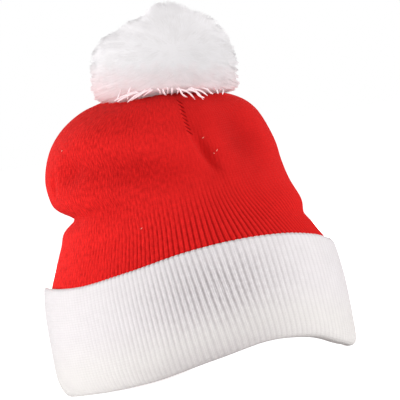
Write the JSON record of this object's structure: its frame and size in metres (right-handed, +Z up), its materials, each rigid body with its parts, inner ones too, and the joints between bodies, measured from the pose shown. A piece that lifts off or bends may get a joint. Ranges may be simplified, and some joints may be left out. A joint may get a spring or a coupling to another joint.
{
  "type": "knitted bobble hat",
  "caption": "Slack rib-knit winter hat with a turned-up ribbed cuff and a yarn pompom on its gathered crown, standing on the fold of its cuff.",
  "frame": {"origin": "middle of the hat's outline, on the surface that the cuff's fold stands on", "axes": "+Z up to the pompom, the front of the picture faces -Y, +X is the right side seen from the front"},
  "size_m": [0.212, 0.17, 0.261],
  "materials": {
    "red_knit": "matt rib-knit acrylic yarn",
    "white_knit": "matt rib-knit acrylic yarn",
    "white_yarn": "fluffy cut yarn ends"
  },
  "bodies": {
    "root": {"crown": "red_knit", "cuff": "white_knit", "pompom": "white_yarn"}
  },
  "joints": []
}
